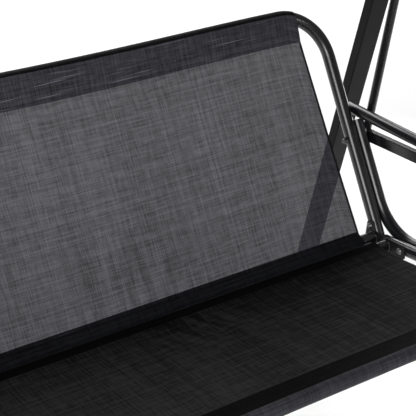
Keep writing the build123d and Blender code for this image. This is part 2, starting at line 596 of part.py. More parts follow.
top = arc_face(r_in, r_in + CAN_T, ye + CAN_T, -CAN_HALF, CAN_HALF)
side = arc_face(r_in + CAN_T - SKIRT_SIDE, r_in + 0.5, ye + CAN_T, CAN_HALF - CAN_T, CAN_HALF)
z_end = ARC_Z + math.sqrt(r_in ** 2 - ye ** 2)
end = Pos(0, ye + CAN_T / 2, z_end + 1 - SKIRT_END / 2) * Box(2 * CAN_HALF, CAN_T, SKIRT_END + 0.5)
fabric = top + side + side.mirror(Plane.YZ) + end + end.mirror(Plane.XZ)
save("canopy_fabric", fabric)
save("canopy_bolts", cb)
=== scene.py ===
import json
import math

import bmesh
import bpy
import numpy as np
from mathutils import Matrix, Vector


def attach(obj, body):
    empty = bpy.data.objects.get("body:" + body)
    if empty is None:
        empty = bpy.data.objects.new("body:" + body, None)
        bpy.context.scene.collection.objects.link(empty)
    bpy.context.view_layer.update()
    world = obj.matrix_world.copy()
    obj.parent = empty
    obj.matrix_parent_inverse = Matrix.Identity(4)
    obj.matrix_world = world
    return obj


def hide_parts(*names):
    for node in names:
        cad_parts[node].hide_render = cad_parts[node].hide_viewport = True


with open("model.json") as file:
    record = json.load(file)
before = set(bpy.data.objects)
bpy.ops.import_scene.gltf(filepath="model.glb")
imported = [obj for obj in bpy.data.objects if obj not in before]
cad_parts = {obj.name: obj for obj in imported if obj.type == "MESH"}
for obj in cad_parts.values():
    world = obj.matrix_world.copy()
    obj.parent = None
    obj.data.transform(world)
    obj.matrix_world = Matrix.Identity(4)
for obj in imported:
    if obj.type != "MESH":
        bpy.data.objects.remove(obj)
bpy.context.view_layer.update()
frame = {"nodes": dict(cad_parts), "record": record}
nodes = frame["nodes"]
MM = 0.001

# ---------------------------------------------------------------- dimensions
# the same numbers as the CAD source, in millimetres
HALF, FRAME_R = 660.0, 14.0
BACK_TOP, RECLINE = (311.0, 890.0), math.radians(28.02)
BACK_R, BACK_BOW, BACK_LOW_S = 105.0, 7.6, 514.3
SEAT_REAR, SEAT_FRONT, SEAT_BOW, SEAT_E = (28.4, 434.5), (-355.9, 463.2), 5.8, 600.0
EDGE_TOP, EDGE_LOW, SEAT_EDGE = 592.0, 605.5, 612.5
SHEET_N, POCKET_R, CLOTH = 5.0, 15.2, 0.8
RAIL_HALF, RAIL_R, RAIL_TOP, RAIL_DROP = 540.0, 9.5, 1570.0, 90.0
CAN_HALF, SKIRT_SIDE, SKIRT_END = 846.0, 55.0, 112.0

BD = (-math.sin(RECLINE), -math.cos(RECLINE))
BN = (-math.cos(RECLINE), math.sin(RECLINE))
SEAT_L = math.hypot(SEAT_REAR[0] - SEAT_FRONT[0], SEAT_REAR[1] - SEAT_FRONT[1])
SD = ((SEAT_FRONT[0] - SEAT_REAR[0]) / SEAT_L, (SEAT_FRONT[1] - SEAT_REAR[1]) / SEAT_L)
SN = (SD[1], -SD[0])
ARC_R = (RAIL_HALF**2 + RAIL_DROP**2) / (2 * RAIL_DROP)
ARC_Z = RAIL_TOP - ARC_R


def back_pt(x, s, n):
    return (x * MM, (BACK_TOP[0] + BD[0] * s + BN[0] * n) * MM, (BACK_TOP[1] + BD[1] * s + BN[1] * n) * MM)


def seat_pt(x, t, n):
    return (x * MM, (SEAT_REAR[0] + SD[0] * t + SN[0] * n) * MM, (SEAT_REAR[1] + SD[1] * t + SN[1] * n) * MM)


# ------------------------------------------------------------- node helpers
class Tree:
    """A material's node tree, with short calls for the nodes used here."""

    def __init__(self, name):
        self.mat = bpy.data.materials.new(name)
        self.mat.use_nodes = True
        self.t = self.mat.node_tree
        self.t.nodes.clear()
        self.out = self.t.nodes.new("ShaderNodeOutputMaterial")
        self.b = self.t.nodes.new("ShaderNodeBsdfPrincipled")
        self.link(self.b.outputs[0], self.out.inputs[0])

    def link(self, a, b):
        self.t.links.new(a, b)

    def n(self, kind, **props):
        node = self.t.nodes.new("ShaderNode" + kind)
        for k, v in props.items():
            setattr(node, k, v)
        return node

    def put(self, socket, value):
        if hasattr(value, "links") or isinstance(value, bpy.types.NodeSocket):
            self.link(value, socket)
        else:
            socket.default_value = value

    def math(self, op, a, b=0.0, clamp=False):
        m = self.n("Math", operation=op, use_clamp=clamp)
        self.put(m.inputs[0], a)
        self.put(m.inputs[1], b)
        return m.outputs[0]

    def coords(self, kind="Object"):
        return self.n("TexCoord").outputs[kind]

    def mapping(self, vec, scale=(1, 1, 1), rot=(0, 0, 0), loc=(0, 0, 0)):
        m = self.n("Mapping")
        self.link(vec, m.inputs["Vector"])
        m.inputs["Scale"].default_value = scale
        m.inputs["Rotation"].default_value = rot
        m.inputs["Location"].default_value = loc
        return m.outputs[0]

    def noise(self, vec, scale, detail=2.0, rough=0.5, distortion=0.0, dims="3D"):
        t = self.n("TexNoise", noise_dimensions=dims)
        self.link(vec, t.inputs["Vector"])
        t.inputs["Scale"].default_value = scale
        t.inputs["Detail"].default_value = detail
        t.inputs["Roughness"].default_value = rough
        t.inputs["Distortion"].default_value = distortion
        return t.outputs["Fac"]

    def wave(self, vec, scale, direction="X", distortion=0.0):
        t = self.n("TexWave", wave_type="BANDS", bands_direction=direction, wave_profile="SIN")
        self.link(vec, t.inputs["Vector"])
        t.inputs["Scale"].default_value = scale
        t.inputs["Distortion"].default_value = distortion
        t.inputs["Detail"].default_value = 0.0
        return t.outputs["Fac"]

    def ramp(self, fac, stops):
        r = self.n("ValToRGB")
        self.link(fac, r.inputs[0])
        e = r.color_ramp.elements
        while len(e) < len(stops):
            e.new(0.5)
        for item, (p, c) in zip(e, stops):
            item.position = p
            item.color = c if len(c) == 4 else (*c, 1.0)
        return r.outputs[0]

    def range(self, fac, a, b, c, d):
        m = self.n("MapRange")
        self.link(fac, m.inputs[0])
        for i, v in enumerate((a, b, c, d)):
            m.inputs[i + 1].default_value = v
        return m.outputs[0]

    def mix(self, fac, a, b):
        m = self.n("Mix", data_type="RGBA")
        self.put(m.inputs[0], fac)
        self.put(m.inputs[6], a if not isinstance(a, tuple) else (*a, 1.0) if len(a) == 3 else a)
        self.put(m.inputs[7], b if not isinstance(b, tuple) else (*b, 1.0) if len(b) == 3 else b)
        return m.outputs[2]

    def bump(self, height, strength, distance, normal=None):
        b = self.n("Bump")
        b.inputs["Strength"].default_value = strength
        b.inputs["Distance"].default_value = distance
        self.link(height, b.inputs["Height"])
        if normal is not None:
            self.link(normal, b.inputs["Normal"])
        return b.outputs[0]


def scaled(rgb, k):
    return tuple(min(1.0, c * k) for c in rgb)


def paint(name, rgb, rough, coat=0.0, dust=0.06, wear=0.05, spec=0.4):
    """Powder-coated steel: fine orange peel, slightly uneven gloss, a few scuffs."""
    m = Tree(name)
    co = m.coords()
    big = m.noise(co, 4.0, 2.0, 0.5)
    fine = m.noise(co, 1300.0, 2.0, 0.5)
    speck = m.noise(co, 420.0, 2.0, 0.6)
    scuff = m.noise(m.mapping(co, scale=(60, 60, 14), rot=(0.3, 0.2, 0.1)), 1.0, 3.0, 0.65)
    base = m.mix(m.range(big, 0.3, 0.7, 0.0, 1.0), scaled(rgb, 0.9), scaled(rgb, 1.12))
    base = m.mix(m.range(speck, 0.66, 0.8, 0.0, dust), base, scaled(rgb, 3.0))
    base = m.mix(m.range(scuff, 0.66, 0.76, 0.0, wear), base, (0.12, 0.12, 0.125))
    m.link(base, m.b.inputs["Base Color"])
    m.b.inputs["Specular IOR Level"].default_value = spec
    r = m.math("ADD", m.range(big, 0.3, 0.7, rough - 0.02, rough + 0.02), m.range(speck, 0.4, 0.7, 0.0, 0.03), clamp=True)
    m.link(r, m.b.inputs["Roughness"])
    m.b.inputs["Coat Weight"].default_value = coat
    m.b.inputs["Coat Roughness"].default_value = 0.16
    m.link(m.bump(fine, 0.05, 0.0002), m.b.inputs["Normal"])
    return m.mat


def steel(name, rgb=(0.46, 0.46, 0.47), rough=0.34):
    """Zinc-plated bolt steel with turning marks and small stains."""
    m = Tree(name)
    co = m.coords()
    turn = m.noise(m.mapping(co, scale=(1400, 160, 160)), 1.0, 2.0, 0.6)
    stain = m.noise(co, 140.0, 3.0, 0.6)
    m.link(m.mix(m.range(stain, 0.45, 0.75, 0.0, 0.6), rgb, scaled(rgb, 0.55)), m.b.inputs["Base Color"])
    m.b.inputs["Metallic"].default_value = 0.95
    m.link(m.math("ADD", m.range(turn, 0.3, 0.7, rough - 0.08, rough + 0.1), m.range(stain, 0.5, 0.8, 0.0, 0.15)), m.b.inputs["Roughness"])
    m.link(m.bump(turn, 0.25, 0.0003), m.b.inputs["Normal"])
    return m.mat


def plastic(name, rgb, rough=0.5, grain=700.0, depth=0.0005):
    """Moulded plastic with a leathery spark-eroded grain."""
    m = Tree(name)
    co = m.coords()
    g = m.n("TexVoronoi", feature="SMOOTH_F1")
    m.link(co, g.inputs["Vector"])
    g.inputs["Scale"].default_value = grain
    haze = m.noise(co, 30.0, 3.0, 0.6)
    m.link(m.mix(m.range(haze, 0.35, 0.7, 0.0, 1.0), scaled(rgb, 0.8), scaled(rgb, 1.5)), m.b.inputs["Base Color"])
    m.link(m.range(haze, 0.3, 0.7, rough - 0.06, rough + 0.1), m.b.inputs["Roughness"])
    m.link(m.bump(g.outputs["Distance"], 0.3, depth), m.b.inputs["Normal"])
    return m.mat


def yarns(m, across, along, per_m, slubs_per_m, seed):
    """0 to 1, how thick the yarn at `across` is at `along`: each yarn has its own slubs and its own mean."""
    count = m.math("FLOOR", m.math("ADD", m.math("MULTIPLY", across, per_m), seed))
    own = m.n("TexWhiteNoise", noise_dimensions="1D")
    m.link(count, own.inputs["W"])
    at = m.n("CombineXYZ")
    m.link(m.math("ADD", m.math("MULTIPLY", along, slubs_per_m), m.math("MULTIPLY", own.outputs["Value"], 91.0)), at.inputs[0])
    m.link(m.math("MULTIPLY", count, 3.37), at.inputs[1])
    slub = m.range(m.noise(at.outputs[0], 1.0, 1.5, 0.6, dims="2D"), 0.3, 0.7, 0.0, 1.0)
    return m.math("ADD", m.math("MULTIPLY", slub, 0.52), m.math("MULTIPLY", own.outputs["Value"], 0.48))


def sling(name, rgb, alpha, slub=1.0, sheen=0.04, spec=0.2, streak=0.5, fold=None, fade=None, per_m=510.0):
    """Coated mesh weave with linen-like slubs; light comes through between the yarns.
    UV is in metres: U along the bench, V along the cloth."""
    m = Tree(name)
    uv = m.n("UVMap", uv_map="cloth").outputs[0]
    xyz = m.n("SeparateXYZ")
    m.link(uv, xyz.inputs[0])
    u, v = xyz.outputs[0], xyz.outputs[1]
    a = yarns(m, u, v, per_m, 30.0, 3.0)
    b = yarns(m, v, u, per_m, 26.0, 71.0)
    both = m.math("MULTIPLY", m.math("ADD", a, b), 0.5)
    cloud = m.noise(m.mapping(uv, scale=(5, 7, 1)), 1.0, 2.0, 0.5, dims="2D")
    # painted shade and light: soft lighter and darker bands down the cloth stand in for the shading of its gentle
    # folds; cloud is random tone
    drape_painted_shade = m.noise(m.mapping(uv, scale=(9, 1.6, 1), loc=(0.3, 5.1, 0)), 1.0, 2.0, 0.5, dims="2D")
    tone_and_painted_shade = m.math("ADD", m.range(cloud, 0.3, 0.7, -0.03, 0.03), m.range(drape_painted_shade, 0.3, 0.7, -0.06, 0.06))
    if fade:
        # painted light and shade: a straight ramp, lighter one way and darker the other across the cloth: (shift per
        # metre along U, shift per metre along V, V of no shift)
        tone_and_painted_shade = m.math("ADD", tone_and_painted_shade, m.math("ADD", m.math("MULTIPLY", u, fade[0]), m.math("MULTIPLY", m.math("SUBTRACT", v, fade[2]), fade[1])))
    if fold:
        # painted crease shading round one place: lighter and darker streaks in the colour, and the openness follows
        # them, as cloth seen at a slant is denser
        u0, v0, ru, rv, lean, strength = fold
        du = m.math("DIVIDE", m.math("SUBTRACT", u, u0), ru)
        dv = m.math("DIVIDE", m.math("SUBTRACT", v, v0), rv)
        far = m.math("ADD", m.math("MULTIPLY", du, du), m.math("MULTIPLY", dv, dv))
        near = m.range(far, 0.0, 1.0, 1.0, 0.0)
        along = m.math("SUBTRACT", u, m.math("MULTIPLY", m.math("SUBTRACT", v, v0), lean))
        line = m.n("CombineXYZ")
        m.link(m.math("MULTIPLY", along, 42.0), line.inputs[0])
        m.link(m.math("MULTIPLY", v, 5.0), line.inputs[1])
        crease_painted_shade = m.noise(line.outputs[0], 1.0, 1.0, 0.5, dims="2D")
        tone_and_painted_shade = m.math("ADD", tone_and_painted_shade, m.math("MULTIPLY", m.range(crease_painted_shade, 0.32, 0.68, -strength, strength), near))
    shade = m.math("ADD", both, tone_and_painted_shade, clamp=True)
    # a few pale slub yarns, mostly along the bench
    lone = m.noise(m.mapping(uv, scale=(7, 330, 1), loc=(4.4, 0.7, 0)), 1.0, 1.0, 0.5, dims="2D")
    lone = m.range(lone, 0.70, 0.80, 0.0, 1.0)
    # the weave itself: crossing yarns, 1.6 mm apart
    wx = m.wave(uv, 200.0, "X")
    wy = m.wave(uv, 200.0, "Y")
    weave = m.math("MULTIPLY", wx, wy)
    dark, light = scaled(rgb, 1.0 - 0.6 * slub), scaled(rgb, 1.0 + 0.7 * slub)
    col = m.mix(m.range(shade, 0.18, 0.82, 0.0, 1.0), dark, light)
    col = m.mix(m.math("MULTIPLY", lone, streak), col, scaled(rgb, 5.0))
    col = m.mix(m.math("MULTIPLY", weave, 0.25), col, scaled(rgb, 1.2))
    m.link(col, m.b.inputs["Base Color"])
    m.b.inputs["Sheen Weight"].default_value = sheen
    m.b.inputs["Sheen Roughness"].default_value = 0.45
    m.b.inputs["Sheen Tint"].default_value = (0.8, 0.82, 0.95, 1.0)
    m.b.inputs["Specular IOR Level"].default_value = spec
    m.link(m.range(shade, 0.0, 1.0, 0.66, 0.5), m.b.inputs["Roughness"])
    if alpha < 1.0:
        gap = 1.0 - alpha
        open_ = m.range(shade, 0.18, 0.82, gap * (1 - 0.5 * slub), gap * (1 + 0.5 * slub))
        m.link(m.math("SUBTRACT", 1.0, open_), m.b.inputs["Alpha"])
    m.link(m.bump(weave, 0.3, 0.0005, m.bump(shade, 0.45, 0.0005)), m.b.inputs["Normal"])
    return m.mat


def woven(name, rgb, sheen=0.4):
    """Coated polyester of the canopy: tight plain weave, faint folds and dust."""
    m = Tree(name)
    uv = m.n("UVMap", uv_map="cloth").outputs[0]
    wx = m.wave(uv, 260.0, "X", 0.4)
    wy = m.wave(uv, 260.0, "Y", 0.4)
    weave = m.math("MULTIPLY", wx, wy)
    slub = m.noise(m.mapping(uv, scale=(25, 500, 1)), 1.0, 2.0, 0.6, dims="2D")
    slub2 = m.noise(m.mapping(uv, scale=(500, 25, 1)), 1.0, 2.0, 0.6, dims="2D")
    cloud = m.noise(m.mapping(uv, scale=(3, 3, 1)), 1.0, 4.0, 0.6, dims="2D")
    v = m.math("ADD", m.math("MULTIPLY", slub, 0.5), m.math("MULTIPLY", slub2, 0.5))
    col = m.mix(m.range(v, 0.35, 0.65, 0.0, 1.0), scaled(rgb, 0.78), scaled(rgb, 1.25))
    col = m.mix(m.range(cloud, 0.45, 0.8, 0.0, 0.35), col, scaled(rgb, 1.5))
    m.link(col, m.b.inputs["Base Color"])
    m.link(m.range(v, 0.3, 0.7, 0.82, 0.68), m.b.inputs["Roughness"])
    m.b.inputs["Sheen Weight"].default_value = sheen
    m.b.inputs["Sheen Roughness"].default_value = 0.5
    crease = m.noise(m.mapping(uv, scale=(7, 7, 1)), 1.0, 3.0, 0.55, 1.2, dims="2D")
    m.link(m.bump(weave, 0.3, 0.0004, m.bump(crease, 0.35, 0.006)), m.b.inputs["Normal"])
    return m.mat


def thread(name, rgb):
    m = Tree(name)
    co = m.coords()
    ply = m.noise(co, 1600.0, 2.0, 0.6)
    m.link(m.mix(ply, scaled(rgb, 0.6), scaled(rgb, 1.6)), m.b.inputs["Base Color"])
    m.b.inputs["Roughness"].default_value = 0.7
    m.b.inputs["Specular IOR Level"].default_value = 0.1
    m.link(m.bump(ply, 0.4, 0.0003), m.b.inputs["Normal"])
    return m.mat


MATS = {
    "frame_paint": paint("frame_paint_gloss", (0.0062, 0.0063, 0.0080), 0.25, coat=0.22, spec=0.62),
    "hanger_paint": paint("hanger_paint_gloss", (0.0064, 0.0064, 0.0080), 0.26, coat=0.16, spec=0.56),
    "stand_paint": paint("stand_paint_satin", (0.0072, 0.0072, 0.0075), 0.46, spec=0.12),
    "bracket_paint": paint("bracket_paint_satin", (0.0075, 0.0075, 0.0080), 0.38, spec=0.22),
    "canopy_paint": paint("canopy_paint_satin", (0.010, 0.010, 0.011), 0.36, spec=0.3),
    "bolt_steel": steel("bolt_zinc", (0.13, 0.13, 0.135), 0.32),
    "bush_plastic": plastic("bush_nylon", (0.05, 0.05, 0.05), 0.45),
    "plug_plastic": plastic("plug_plastic_grain", (0.010, 0.010, 0.0105), 0.48),
    "foot_plastic": plastic("foot_plastic_grain", (0.013, 0.013, 0.0135), 0.6, grain=420.0, depth=0.0008),
    "knob_plastic": plastic("knob_plastic_grain", (0.011, 0.011, 0.0115), 0.42, grain=600.0),
}
slot_of = {s["node"]: s["material_slot"] for s in frame["record"]["subparts"]}
for name, obj in nodes.items():
    mat = MATS.get(slot_of.get(name))
    if mat:
        obj.data.materials.clear()
        obj.data.materials.append(mat)

# fold paints crease shading near the bottom of the back cloth
M_BACK = sling("sling_back_weave", (0.0515, 0.0496, 0.0615), 0.9460, slub=0.95, streak=0.0, fold=(0.06, 0.565, 0.16, 0.12, 0.0, 0.16))
M_HEM = sling("sling_top_hem_weave", (0.0425, 0.0410, 0.0505), 1.0, slub=1.2, streak=0.9)
# painted shade: the seat cloth is coloured about a quarter as light as the back's same cloth; fade paints light to the
# front left and shade to the rear right; fold paints crease shading near the rear
M_SEAT_PAINTED_SHADE = sling("sling_seat_painted_shade_weave", (0.0142, 0.0142, 0.0144), 0.998, slub=1.45, sheen=0.01, spec=0.06, streak=0.0, fold=(0.12, 0.165, 0.14, 0.08, 0.45, 0.22), fade=(-0.30, 0.35, 0.27), per_m=400.0)
# painted shade: the back cloth's lower pocket, between back and seat, coloured near black
M_BACK_POCKET_PAINTED_SHADE = sling("sling_lower_band_painted_shade_weave", (0.0078, 0.0082, 0.0100), 1.0, slub=1.3, sheen=0.01, spec=0.08, streak=0.5)
# painted shade: near-black bands of the seat cloth at its rear pocket under the back and where it turns down over the
# front tube
M_SEAT_BANDS_PAINTED_SHADE = sling("sling_seat_bands_painted_shade_weave", (0.0022, 0.0022, 0.0024), 1.0, slub=0.6, sheen=0.0, spec=0.03, streak=0.0)
# painted shade: a dark line along the back cloth's top edge, where it curves over the tube away from the light
M_TOP_EDGE_PAINTED_SHADE = sling("sling_top_edge_painted_shade_weave", (0.0070, 0.0070, 0.0080), 1.0, slub=0.8, sheen=0.0, spec=0.05, streak=0.1)
M_EDGE = sling("sling_side_hem_weave", (0.0200, 0.0195, 0.0230), 1.0, slub=0.8, sheen=0.0, spec=0.08, streak=0.0)
# painted light: the seat cloth's roll over the front tube is coloured about twice as light as the seat top, where light
# falls on its front
M_ROLL_PAINTED_LIGHT = sling("sling_front_roll_painted_light_weave", (0.0300, 0.0300, 0.0370), 1.0, slub=1.1, sheen=0.04, spec=0.2, streak=0.25)
M_CAN = woven("canopy_weave", (0.030, 0.030, 0.033))
M_BIND = woven("canopy_binding_weave", (0.020, 0.020, 0.022))
M_THREAD = thread("thread_black", (0.009, 0.009, 0.010))


# ------------------------------------------------------------- mesh helpers
def mesh_object(name, verts, faces, mat, uvs=None, smooth=True):
    me = bpy.data.meshes.new(name)
    me.from_pydata([tuple(map(float, v)) for v in verts], [], faces)
    if smooth:
        me.polygons.foreach_set("use_smooth", [True] * len(me.polygons))
    if uvs is not None:
        layer = me.uv_layers.new(name="cloth")
        idx = np.zeros(len(me.loops), int)
        me.loops.foreach_get("vertex_index", idx)
        layer.data.foreach_set("uv", np.asarray(uvs, np.float32)[idx].ravel())
    me.materials.append(mat)
    me.update()
    ob = bpy.data.objects.new(name, me)
    bpy.context.scene.collection.objects.link(ob)
    return ob


def grid_faces(nu, nv, base=0):
    return [
        (base + i * nv + j, base + (i + 1) * nv + j, base + (i + 1) * nv + j + 1, base + i * nv + j + 1)
        for i in range(nu - 1)
        for j in range(nv - 1)
    ]


def stitches(name, runs, body, mat, length=3.0, pitch=4.6, r=0.34):
    """Rows of thread stitches. Each run is (points, normals): arrays in metres along the seam."""
    verts, faces = [], []
    for pts, nrm in runs:
        pts, nrm = np.asarray(pts, float), np.asarray(nrm, float)
        seg = np.linalg.norm(np.diff(pts, axis=0), axis=1)
        acc = np.concatenate([[0], np.cumsum(seg)])
        total = acc[-1]
        count = max(1, int(total / (pitch * MM)))
        for k in range(count):
            c = (k + 0.5) * total / count
            ends = []
            for q in (c - length * MM / 2, c, c + length * MM / 2):
                q = min(max(q, 0), total)
                ends.append(np.array([np.interp(q, acc, pts[:, i]) for i in range(3)]))
            n = np.array([np.interp(c, acc, nrm[:, i]) for i in range(3)])
            n /= np.linalg.norm(n)
            d = ends[2] - ends[0]
            d /= np.linalg.norm(d)
            side = np.cross(d, n)
            base = len(verts)
            for t, (p, lift, rad) in enumerate(zip(ends, (-0.15, 0.32, -0.15), (0.5, 1.0, 0.5))):
                for a in range(6):
                    ang = 2 * math.pi * a / 6
                    verts.append(p + n * (lift * MM) + (side * math.cos(ang) + n * math.sin(ang)) * r * rad * MM)
            for t in range(2):
                for a in range(6):
                    b0 = base + t * 6
                    faces.append((b0 + a, b0 + (a + 1) % 6, b0 + 6 + (a + 1) % 6, b0 + 6 + a))
            faces.append(tuple(base + a for a in reversed(range(6))))
            faces.append(tuple(base + 12 + a for a in range(6)))
    ob = mesh_object(name, verts, faces, mat)
    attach(ob, body)
    return ob


def back_sag(x):
    e = HALF - BACK_R
    x = abs(x)
    if x <= e:
        return BACK_BOW * (1 - (x / e) ** 2) ** 2, 1.0
    drop = BACK_R - math.sqrt(BACK_R**2 - (x - e) ** 2)
    return drop, 1 / math.cos(math.asin((x - e) / BACK_R))


def bow(x, e, b):
    return b * (1 - min(1.0, abs(x) / e) ** 2) ** 2


def tangent_angles(c, r, s, n):
    d = math.hypot(s - c, n)
    phi = math.atan2(n, s - c)
    k = math.acos(min(1.0, r / d))
    return phi + k, phi - k


def loop_profile(c, k, s_st, n_sheet, sign, steps_arc=22, steps_flat=9, r=POCKET_R):
    """Points (s, n) from the seam round the tube and back to the seam's far side.
    sign 1: tube at the low-s end. The first point is on the front layer at the seam."""
    th_f, th_r = tangent_angles(0.0, r, abs(s_st - c), n_sheet + 0.45)
    _, th_r = tangent_angles(0.0, r, abs(s_st - c), n_sheet - 0.75)
    pts = []
    f = (r * math.cos(th_f), r * math.sin(th_f))
    start = (abs(s_st - c), n_sheet + 0.0)
    for i in range(steps_flat):
        t = i / steps_flat
        lift = 0.45 * min(1.0, t * 6)
        pts.append((start[0] + (f[0] - start[0]) * t, start[1] + (f[1] - start[1]) * t + lift * (1 - t)))
    end_a = 2 * math.pi + th_r
    for i in range(steps_arc + 1):
        a = th_f + (end_a - th_f) * i / steps_arc
        pts.append((r * math.cos(a), r * math.sin(a)))
    b = (r * math.cos(end_a), r * math.sin(end_a))
    stop = (abs(s_st - c) + 1.5, n_sheet - 1.0)
    for i in range(1, steps_flat + 1):
        t = i / steps_flat
        pts.append((b[0] + (stop[0] - b[0]) * t, b[1] + (stop[1] - b[1]) * t))
    return [(c + sign * s * k if abs(s) < r * 1.2 else c + sign * s * (k if s < 0 else 1), n) for s, n in pts]


def smooth_noise(x, y, seed):
    rng = np.random.RandomState(seed)
    v = 0.0
    for _ in range(5):
        fx, fy, ph = rng.uniform(2, 9), rng.uniform(1, 6), rng.uniform(0, 6.28)
        v += math.sin(x * fx + y * fy + ph) / 5
    return v


def make_sling(name, to_world, body, mat, top, low, halves, sheet_rows, wrinkle, hem_w=11.0, band=None, edge=None):
    """Cloth held by a tube at both ends. top and low give (centre, k, seam) at x; halves the half width at s."""
    nxs = 240
    grid, uvs = [], []
    cols = [-2, -1] + list(range(nxs + 1)) + [nxs + 1, nxs + 2]
    prof_len = None
    for ci in cols:
        i = min(max(ci, 0), nxs)
        fold = 0 if ci == i else (1 if ci in (-1, nxs + 1) else 2)
        a = -1 + 2 * i / nxs
        # a folded column lies inside the sheet, hem_w in from the edge
        xt = a * halves(0.0)
        c1, k1, s1 = top(xt)
        c2, k2, s2 = low(a * halves(BACK_LOW_S))
        head = loop_profile(c1, k1, s1, SHEET_N, 1)[::-1]
        tail = loop_profile(c2, k2, s2, SHEET_N, -1)
        body_pts = []
        for j in range(1, sheet_rows):
            t = j / sheet_rows
            s = s1 + (s2 - s1) * t
            body_pts.append((s, SHEET_N + wrinkle(a, t, s)))
        prof = head + body_pts + tail
        prof = np.array(prof)
        d = np.gradient(prof, axis=0)
        d /= np.maximum(np.linalg.norm(d, axis=1, keepdims=True), 1e-9)
        nrm = np.stack([-d[:, 1], d[:, 0]], axis=1)
        # outward is away from the tubes: flip so that the sheet's front is outward
        mid = len(prof) // 2
        if nrm[mid, 1] < 0:
            nrm = -nrm
        dist = np.concatenate([[0], np.cumsum(np.linalg.norm(np.diff(prof, axis=0), axis=1))])
        sgn = 1 if a > 0 else -1
        row, uvr = [], []
        for (s, n), (ns, nn), v in zip(prof, nrm, dist):
            w = halves(min(max(s, 0), BACK_LOW_S))
            x = a * w
            if fold == 1:
                s_, n_, x_ = s - ns * CLOTH, n - nn * CLOTH, sgn * (w - 0.6)
            elif fold == 2:
                s_, n_, x_ = s - ns * CLOTH * 1.15, n - nn * CLOTH * 1.15, sgn * (w - hem_w)
            else:
                s_, n_, x_ = s, n, x
            row.append(to_world(x_, s_, n_))
            u = x if fold == 0 else sgn * (w + (0.8 if fold == 1 else hem_w))
            uvr.append((u * MM, v * MM))
        grid.append(row)
        uvs.append(uvr)
        prof_len = len(prof)
    nu, nv = len(grid), prof_len
    verts = [p for row in grid for p in row]
    uvf = [p for row in uvs for p in row]
    ob = mesh_object(name, verts, grid_faces(nu, nv), mat, uvf)
    if band is not None:
        index = [0] * (nv - 1)
        for slot, (extra, rows) in enumerate(band, 1):
            ob.data.materials.append(extra)
            lo, hi = rows(len(head), len(prof))
            for k in range(max(lo, 0), min(hi, nv - 1)):
                index[k] = slot
        per_face = []
        for k in range(len(ob.data.polygons)):
            col, row = divmod(k, nv - 1)
            at_edge = edge is not None and (col < 3 or col > nu - 5) and len(head) <= row < len(head) + sheet_rows - 2
            per_face.append(len(band) + 1 if at_edge else index[row])
        if edge is not None:
            ob.data.materials.append(edge)
        ob.data.polygons.foreach_set("material_index", per_face)
    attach(ob, body)
    return ob


# back sling
def back_half(s):
    t = min(max(s / BACK_LOW_S, 0), 1)
    return EDGE_TOP + (EDGE_LOW - EDGE_TOP) * t - 1.2 * math.sin(math.pi * t)


HEM_TOP = 58.4
SIDE_HEM = 5.0
BACK_CREASES = [
    (-52, 0.10, 7, -1.6, 60), (-22, 0.04, 6, 1.5, 80), (4, 0.10, 6, -2.1, 100), (31, 0.02, 6, 1.8, 84),
    (57, 0.05, 6, -2.4, 105), (84, -0.04, 6, 1.9, 92), (110, 0.02, 7, -2.1, 84), (138, -0.06, 7, 1.6, 66),
    (170, -0.04, 8, -1.4, 56), (-300, 0.08, 9, -1.2, 60), (-262, 0.02, 9, 1.1, 54),
]
SEAT_CREASES = [
    (50, 0.30, 9, -1.5, 60), (78, 0.40, 9, 1.8, 78), (106, 0.45, 10, -2.2, 88), (136, 0.50, 10, 2.0, 90),
    (166, 0.55, 11, -1.9, 78), (-250, 0.2, 10, -1.2, 60),
]
BACK_SEAM_LOW = 17.5


def creases(x, d, marks):
    """Height of pulled creases at x, d mm from the seam they start at.
    Each mark is (x, lean, half width, depth, reach)."""
    v = 0.0
    for x0, lean, w, depth, reach in marks:
        fade = math.exp(-((d / reach) ** 2)) * min(1.0, d / 10.0)
        v += depth * fade * math.exp(-(((x - x0 - lean * d) / (w * (1 + d / reach))) ** 2))
    return v


def back_wrinkle(a, t, s):
    x = a * 590
    low = math.exp(-(((1 - t) / 0.22) ** 2))
    v = creases(x, (1 - t) * (BACK_LOW_S - BACK_SEAM_LOW - HEM_TOP), BACK_CREASES)
    v += 1.2 * low * math.exp(-(((x - 330) / 150) ** 2)) * math.sin(x / 29.0 - 1.5 * t)
    v += 1.2 * math.sin(math.pi * t) * smooth_noise(a * 2.2, t * 1.7, 11)
    return v * min(1.0, 16 * t, 16 * (1 - t))


def back_top(x):
    c, k = back_sag(x)
    return c, k, bow(x, HALF - BACK_R, BACK_BOW) + HEM_TOP


back = make_sling(
    "back_sling_cloth",
    back_pt,
    "swing",
    M_BACK,
    back_top,
    lambda x: (BACK_LOW_S, 1.0, BACK_LOW_S - BACK_SEAM_LOW),
    back_half,
    64,
    back_wrinkle,
    hem_w=SIDE_HEM,
    band=[(M_HEM, lambda h, n: (0, h - 1)), (M_TOP_EDGE_PAINTED_SHADE, lambda h, n: (h - 20, h - 12)), (M_BACK_POCKET_PAINTED_SHADE, lambda h, n: (h + 62, n))],
    edge=M_EDGE,
)
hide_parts("back_sling")

def front_bend(x, r=60.0):
    """Drop and slant factor of the seat frame's front tube where its corner bend has begun."""
    past = max(0.0, abs(x) - SEAT_E)
    return r - math.sqrt(r * r - past * past), 1 / math.cos(math.asin(past / r))


# seat sling: the same cloth, rear tube at t = 0
SEAT_HEM_R, SEAT_HEM_F = 50.0, 50.0


def seat_wrinkle(a, t, s):
    x = a * 598
    v = 1.5 * math.sin(math.pi * t) * smooth_noise(a * 2.6, t * 2.1, 5)
    v += creases(x, t * (SEAT_L - SEAT_HEM_F - SEAT_HEM_R), SEAT_CREASES)
    return v * min(1.0, 16 * t, 16 * (1 - t))


